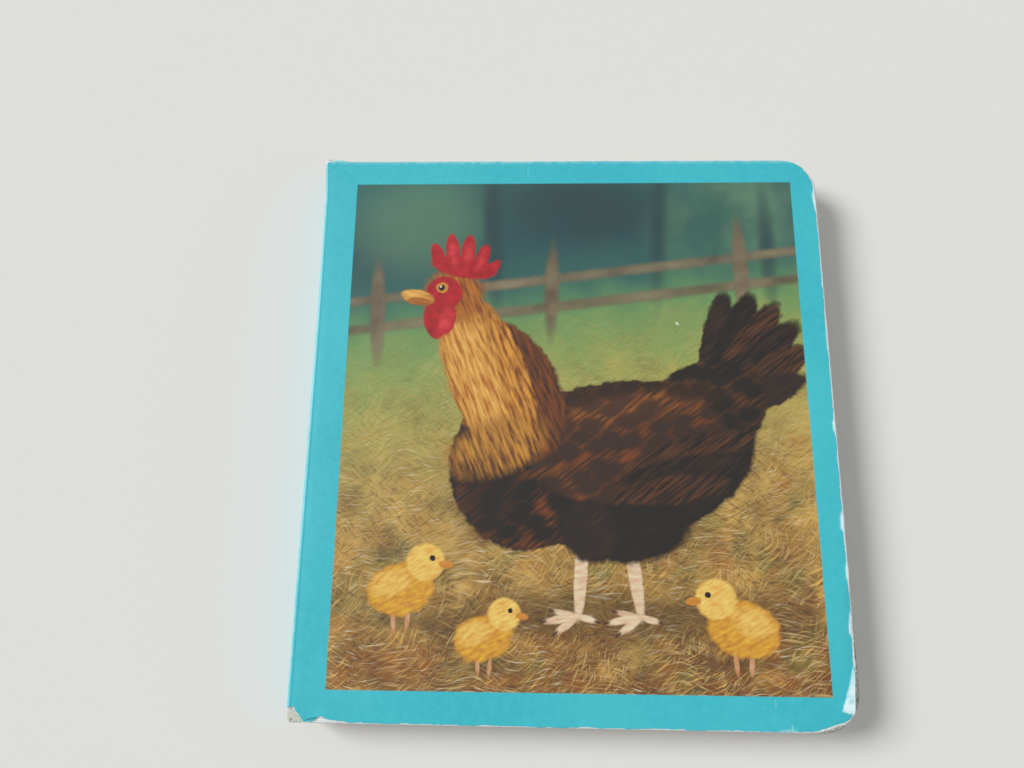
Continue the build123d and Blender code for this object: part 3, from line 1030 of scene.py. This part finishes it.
def foldSection():
    # from the crease over the rounded fold to the spine's face, and back along the inside of the board
    radius, step = wrap["foldRadius"], sweep["flat"]
    outer = [(x, top) for x in steps(hingeX, left + radius, sweep["crease"])]
    outer += arc(left + radius, top - radius, radius, 90, 180, sweep["turn"])[1:]
    outer += [(left, z) for z in steps(top - radius, top - wrap["hinge"], step)[1:]]
    inner = [(left + board, z) for z in steps(top - wrap["foldReach"], coverUnder, step)]
    inner += [(x, coverUnder) for x in steps(left + board, innerX, step)[1:]]
    return outer, inner


foldOuter, foldInner = foldSection()
wrapMaterials = (tealBoard, cutBoard, lining)
frontFold = sweptPiece("front_fold", foldOuter, foldInner, frontFace, False, wrapMaterials)
backFold = sweptPiece("back_fold", foldOuter, foldInner, plainFace, True, wrapMaterials)
spineOuter = [(left, z) for z in steps(top - wrap["hinge"], wrap["hinge"], sweep["spine"])]
spineInner = [(left + board, z) for z in steps(wrap["foldReach"], top - wrap["foldReach"], sweep["spine"])]
spineBoard = sweptPiece("spine_board", spineOuter, spineInner, plainFace, False, wrapMaterials)
print("folds and spine made")


def leafMesh():
    # a die-cut leaf with softened edges, and the half-round fold that joins it to the leaf below
    radius, rim, step, turn = [leaves[key] for key in ("foreCorner", "rim", "step", "cornerTurn")]
    farX, farY = leafHigh.x, leafHigh.y
    outline = [(foldLine, y) for y in steps(farY, -farY, step)[:-1]]
    outline += [(x, -farY) for x in steps(foldLine, farX - radius, step)[:-1]]
    outline += arc(farX - radius, -farY + radius, radius, -90, 0, turn)
    outline += [(farX, y) for y in steps(-farY + radius, farY - radius, step)[1:-1]]
    outline += arc(farX - radius, farY - radius, radius, 0, 90, turn)
    outline += [(x, farY) for x in steps(farX - radius, foldLine, step)[1:-1]]
    levels = [(rim - across, z) for across, z in arc(0, rim, rim, -90, 0, leaves["rimTurn"])]
    levels += [(inset, leafThick - z) for inset, z in reversed(levels)]
    points = []
    for inset, z in levels:
        shareX = 1 - 2 * inset / (farX - foldLine)
        shareY = 1 - inset / farY
        middle = (farX + foldLine) / 2
        points += [(middle + (x - middle) * shareX, y * shareY, z) for x, y in outline]
    base, count = len(points), len(outline)
    faces = ringFaces(len(levels), count) + [list(range(count)), list(range(base - count, base))]
    # fold: an arc from the middle of the leaf below to the middle of this one
    low, high = leafThick / 2 - leafPitch, leafThick / 2
    bulge = [
        (foldLine + leaves["foldBulge"] * across, (low + high) / 2 + (high - low) / 2 * up)
        for across, up in arc(0, 0, 1, 90, 270, leaves["foldTurn"])
    ]
    bulge += [(foldLine + leaves["foldTuck"], z) for z in (low, high)]
    stations = steps(-farY + leaves["foldShort"], farY - leaves["foldShort"], step)
    points += [(x, y, z) for y in stations for x, z in bulge]
    faces += ringFaces(len(stations), len(bulge), base)
    faces += [list(range(base, base + len(bulge))), list(range(len(points) - len(bulge), len(points)))]
    return points, faces


def newTree(name, inputs, output):
    # a Geometry Nodes tree with named inputs: the tree, its inputs' identifiers, what adds nodes, the inputs
    tree = bpy.data.node_groups.new(name, "GeometryNodeTree")
    identifiers = {}
    for key, kind in inputs.items():
        socket = tree.interface.new_socket(key, in_out="INPUT", socket_type="NodeSocket" + kind)
        identifiers[key] = socket.identifier
    tree.interface.new_socket(output, in_out="OUTPUT", socket_type="NodeSocketGeometry")
    add = partial(addNode, tree)
    return tree, identifiers, add, add("NodeGroupInput").node.outputs


def growTree(piece, tree, identifiers, values):
    # runs a tree on a piece and keeps the result as a plain mesh
    modifier = piece.modifiers.new(tree.name, "NODES")
    modifier.node_group = tree
    for key, value in values.items():
        modifier[identifiers[key]] = value
    evaluated = piece.evaluated_get(bpy.context.evaluated_depsgraph_get())
    plain = bpy.data.meshes.new_from_object(evaluated)
    piece.modifiers.clear()
    piece.data = plain
    plain.shade_smooth()
    plain.set_sharp_from_angle(angle=sharpAngle)


def leafTree():
    tree, identifiers, add, given = newTree("leaf block", dict(
        Leaf="Geometry", Count="Int", Pitch="Float", Floor="Float", Shift="Float", Wave="Float",
        Board="Material", Seed="Int",
    ), "Block")
    step = add("CombineXYZ", {"Z": given["Pitch"]})
    start = add("CombineXYZ", {"Z": given["Floor"]})
    stack = add("GeometryNodeMeshLine", {"Count": given["Count"], "Start Location": start, "Offset": step})
    # leaves never line up quite: each is shifted a little in its own plane
    back = add("Math", (given["Shift"], -1.0), operation="MULTIPLY")
    low = add("CombineXYZ", {"X": back, "Y": back})
    jog = add("FunctionNodeRandomValue", {
        0: low, 1: (0, 0, 0), "Seed": given["Seed"],
    }, data_type="FLOAT_VECTOR")
    moved = add("GeometryNodeSetPosition", {"Geometry": stack, "Offset": jog})
    copies = add("GeometryNodeInstanceOnPoints", {"Points": moved, "Instance": given["Leaf"]})
    block = add("GeometryNodeRealizeInstances", {"Geometry": copies})
    # slow waves in the sheets, and the lowest fold is pressed flat on the back cover
    place = add("GeometryNodeInputPosition")
    swell = add("TexNoise", {"Vector": place, "Scale": 1 / (leaves["waveLong"] * mm), "Detail": 1.0})
    swell = add("Math", (swell, 0.5), operation="SUBTRACT")
    swell = add("Math", (swell, given["Wave"]), operation="MULTIPLY")
    axes = add("SeparateXYZ", [place]).node.outputs
    level = add("Math", (axes["Z"], swell), operation="ADD")
    level = add("Math", (level, leafLow.z * mm), operation="MAXIMUM")
    waved = add("CombineXYZ", {"X": axes["X"], "Y": axes["Y"], "Z": level})
    block = add("GeometryNodeSetPosition", {"Geometry": block, "Position": waved})
    block = add("GeometryNodeSetMaterial", {"Geometry": block, "Material": given["Board"]})
    add("NodeGroupOutput", {0: block})
    return tree, identifiers


leafPoints, leafFaces = leafMesh()
pages = makePiece("page_leaves", leafPoints, leafFaces, [0] * len(leafFaces), (pageBoard,), [])
growTree(pages, *leafTree(), dict(
    Count=leaves["count"], Pitch=leafPitch * mm, Floor=(leafFloor - (leaves["count"] - 1) * leafPitch) * mm,
    Shift=leaves["shift"] * mm, Wave=leaves["wave"] * mm, Board=pageBoard, Seed=leaves["seed"],
))
print("pages: %d faces" % len(pages.data.polygons))

# Frayed paper fibres along the torn skin, by Geometry Nodes
fibres = dict(
    long=0.7, thick=0.028, shortest=0.35, rise=0.5, apart=0.3, fromRim=0.25, sunk=0.05, seed=5,
    colour="#E4E4DC", grain=0.8, roughness=0.9, ior=1.45,
)


def fibreMaterial():
    # Torn pulp fibre: short, soft and matt, a little off white
    material, add, place = newMaterial("torn pulp fibre")
    tint = add("TexNoise", {"Vector": place, "Scale": 1 / fibres["grain"], "Detail": 2.0})
    pulp, pale = linear(laminate["pulp"]), linear(fibres["colour"])
    colour = add("Mix", {0: tint, 6: pulp, 7: pale}, 2, data_type="RGBA")
    look = {"Base Color": colour, "Roughness": fibres["roughness"], "IOR": fibres["ior"]}
    surface = add("BsdfPrincipled", look)
    add("OutputMaterial", {"Surface": surface})
    return material


def fibreTree():
    tree, identifiers, add, given = newTree("torn fibres", dict(
        Tear="Geometry", Long="Float", Thick="Float", Pulp="Material", Seed="Int",
    ), "Fibres")
    tip = add("CombineXYZ", {"X": given["Long"]})
    hair = add("GeometryNodeCurvePrimitiveLine", {"End": tip})
    profile = add("GeometryNodeCurvePrimitiveCircle", {"Resolution": 4, "Radius": given["Thick"]})
    hair = add("GeometryNodeCurveToMesh", {
        "Curve": hair, "Profile Curve": profile, "Fill Caps": True,
    })
    turn = add("FunctionNodeRandomValue", {
        0: (0, -fibres["rise"], 0), 1: (0, 0.0, 6.28), "Seed": given["Seed"],
    }, data_type="FLOAT_VECTOR")
    size = add("FunctionNodeRandomValue", {
        2: fibres["shortest"], 3: 1.0, "Seed": given["Seed"],
    }, 1, data_type="FLOAT")
    points = add("GeometryNodeMeshToPoints", {"Mesh": given["Tear"]})
    copies = add("GeometryNodeInstanceOnPoints", {
        "Points": points, "Instance": hair, "Rotation": turn, "Scale": size,
    })
    tuft = add("GeometryNodeRealizeInstances", {"Geometry": copies})
    tuft = add("GeometryNodeSetMaterial", {"Geometry": tuft, "Material": given["Pulp"]})
    add("NodeGroupOutput", {0: tuft})
    return tree, identifiers


def tearPoints():
    # points along the torn outlines, where they lie inside the cover
    found = []
    for key in ("tornCorner", "tornEdge", "crushedCorner"):
        for (ax, ay), (bx, by) in zip(wear[key], wear[key][1:]):
            for share in steps(0, 1, fibres["apart"] / math.hypot(bx - ax, by - ay))[:-1]:
                x, y = toBook(key, ax + (bx - ax) * share, ay + (by - ay) * share)
                if hingeX < x < right and rimDistance(x, y) > fibres["fromRim"]:
                    found.append((x, y, top - wrap["skin"] + fibres["sunk"]))
    return found


tearLine = tearPoints()
tearMesh = bpy.data.meshes.new("frayed_fibres")
tearMesh.from_pydata([Vector(p) * mm for p in tearLine], [], [])
fray = newObject("frayed_fibres", tearMesh)
growTree(fray, *fibreTree(), dict(
    Long=fibres["long"] * mm, Thick=fibres["thick"] * mm, Pulp=fibreMaterial(), Seed=fibres["seed"],
))
print("fibres: %d" % len(tearLine))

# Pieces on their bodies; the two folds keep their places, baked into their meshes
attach(frontCover, "front")
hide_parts("front_cover")
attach(fray, "front")
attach(spineBoard, "spine")
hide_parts("spine")
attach(backCover, "back")
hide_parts("back_cover")
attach(pages, "back")
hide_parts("pages")
for fold, hinge, before, after, way in (
    (frontFold, "front_cover_hinge", "spine", "front", Vector((1, 0, 1))),
    (backFold, "back_cover_hinge", "back", "spine", Vector((-1, 0, 1))),
):
    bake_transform(fold)

# Matt painted table top: pale, even, with the faintest grain. It lies a little clear of the back cover.
table = dict(
    half=2500.0, gap=0.1, colour="#E6E5E1", grain=2.0,
    roughness=0.9, ior=1.4, specular=0.1, bump=0.05, relief=0.1,
)
# Soft light from the left and a little behind, and the photograph's camera
studio = dict(
    sky="#F2F3F5", ambient=0.46,
    keyPower=2.55, keySpread=25.0, keyFrom=(-0.72, 0.25, 0.62),  # spread in degrees, a wide soft window
)
view = dict(place=(-8.77, -41.53, 220.46), azimuth=7.95, elevation=76.01, roll=-7.37, lens=27.07)


def makeFloor():
    mesh = bpy.data.meshes.new("table_top")
    half, low = table["half"] * mm, -table["gap"] * mm
    corners = [(-half, -half, low), (half, -half, low), (half, half, low), (-half, half, low)]
    mesh.from_pydata(corners, [], [(0, 1, 2, 3)])
    material, add, place = newMaterial("matt pale table")
    grain = add("TexNoise", {"Vector": place, "Scale": 1 / table["grain"], "Detail": 3.0})
    more = {"Specular IOR Level": table["specular"]}
    finishSurface(add, table, linear(table["colour"]), table["roughness"], grain, **more)
    mesh.materials.append(material)
    newObject("table_top", mesh)


def makeLight():
    world = bpy.data.worlds.new("studio")
    world.use_nodes = True
    world.node_tree.nodes.clear()
    add = partial(addNode, world.node_tree)
    path = add("LightPath").node.outputs
    seen = path["Is Camera Ray"]
    for ray in ("Is Glossy Ray", "Is Transmission Ray"):
        seen = add("Math", (seen, path[ray]), operation="MAXIMUM")
    ambient = add("Background", {"Color": linear(studio["sky"]), "Strength": studio["ambient"]})
    backdrop = add("Background", {"Color": linear(table["colour"]), "Strength": 1.0})
    mixed = add("MixShader", (seen, ambient, backdrop))
    add("OutputWorld", {"Surface": mixed})
    bpy.context.scene.world = world
    lamp = bpy.data.lights.new("window", "SUN")
    lamp.energy = studio["keyPower"]
    lamp.angle = math.radians(studio["keySpread"])
    window = newObject("window", lamp)
    window.rotation_euler = Vector(studio["keyFrom"]).to_track_quat("Z", "Y").to_euler()


def makeCamera():
    data = bpy.data.cameras.new("camera")
    data.sensor_width = 36.0
    data.lens = view["lens"]
    data.clip_start = 0.005
    camera = newObject("camera", data)
    place = Matrix.Translation(Vector(view["place"]) * mm)
    for angle, axis in ((view["azimuth"], "Z"), (90 - view["elevation"], "X"), (view["roll"], "Z")):
        place = place @ Matrix.Rotation(math.radians(angle), 4, axis)
    camera.matrix_world = place
    bpy.context.scene.camera = camera


makeFloor()
makeLight()
makeCamera()
bpy.context.scene.view_settings.view_transform = "Standard"
print("studio ready")

bpy.context.view_layer.update()
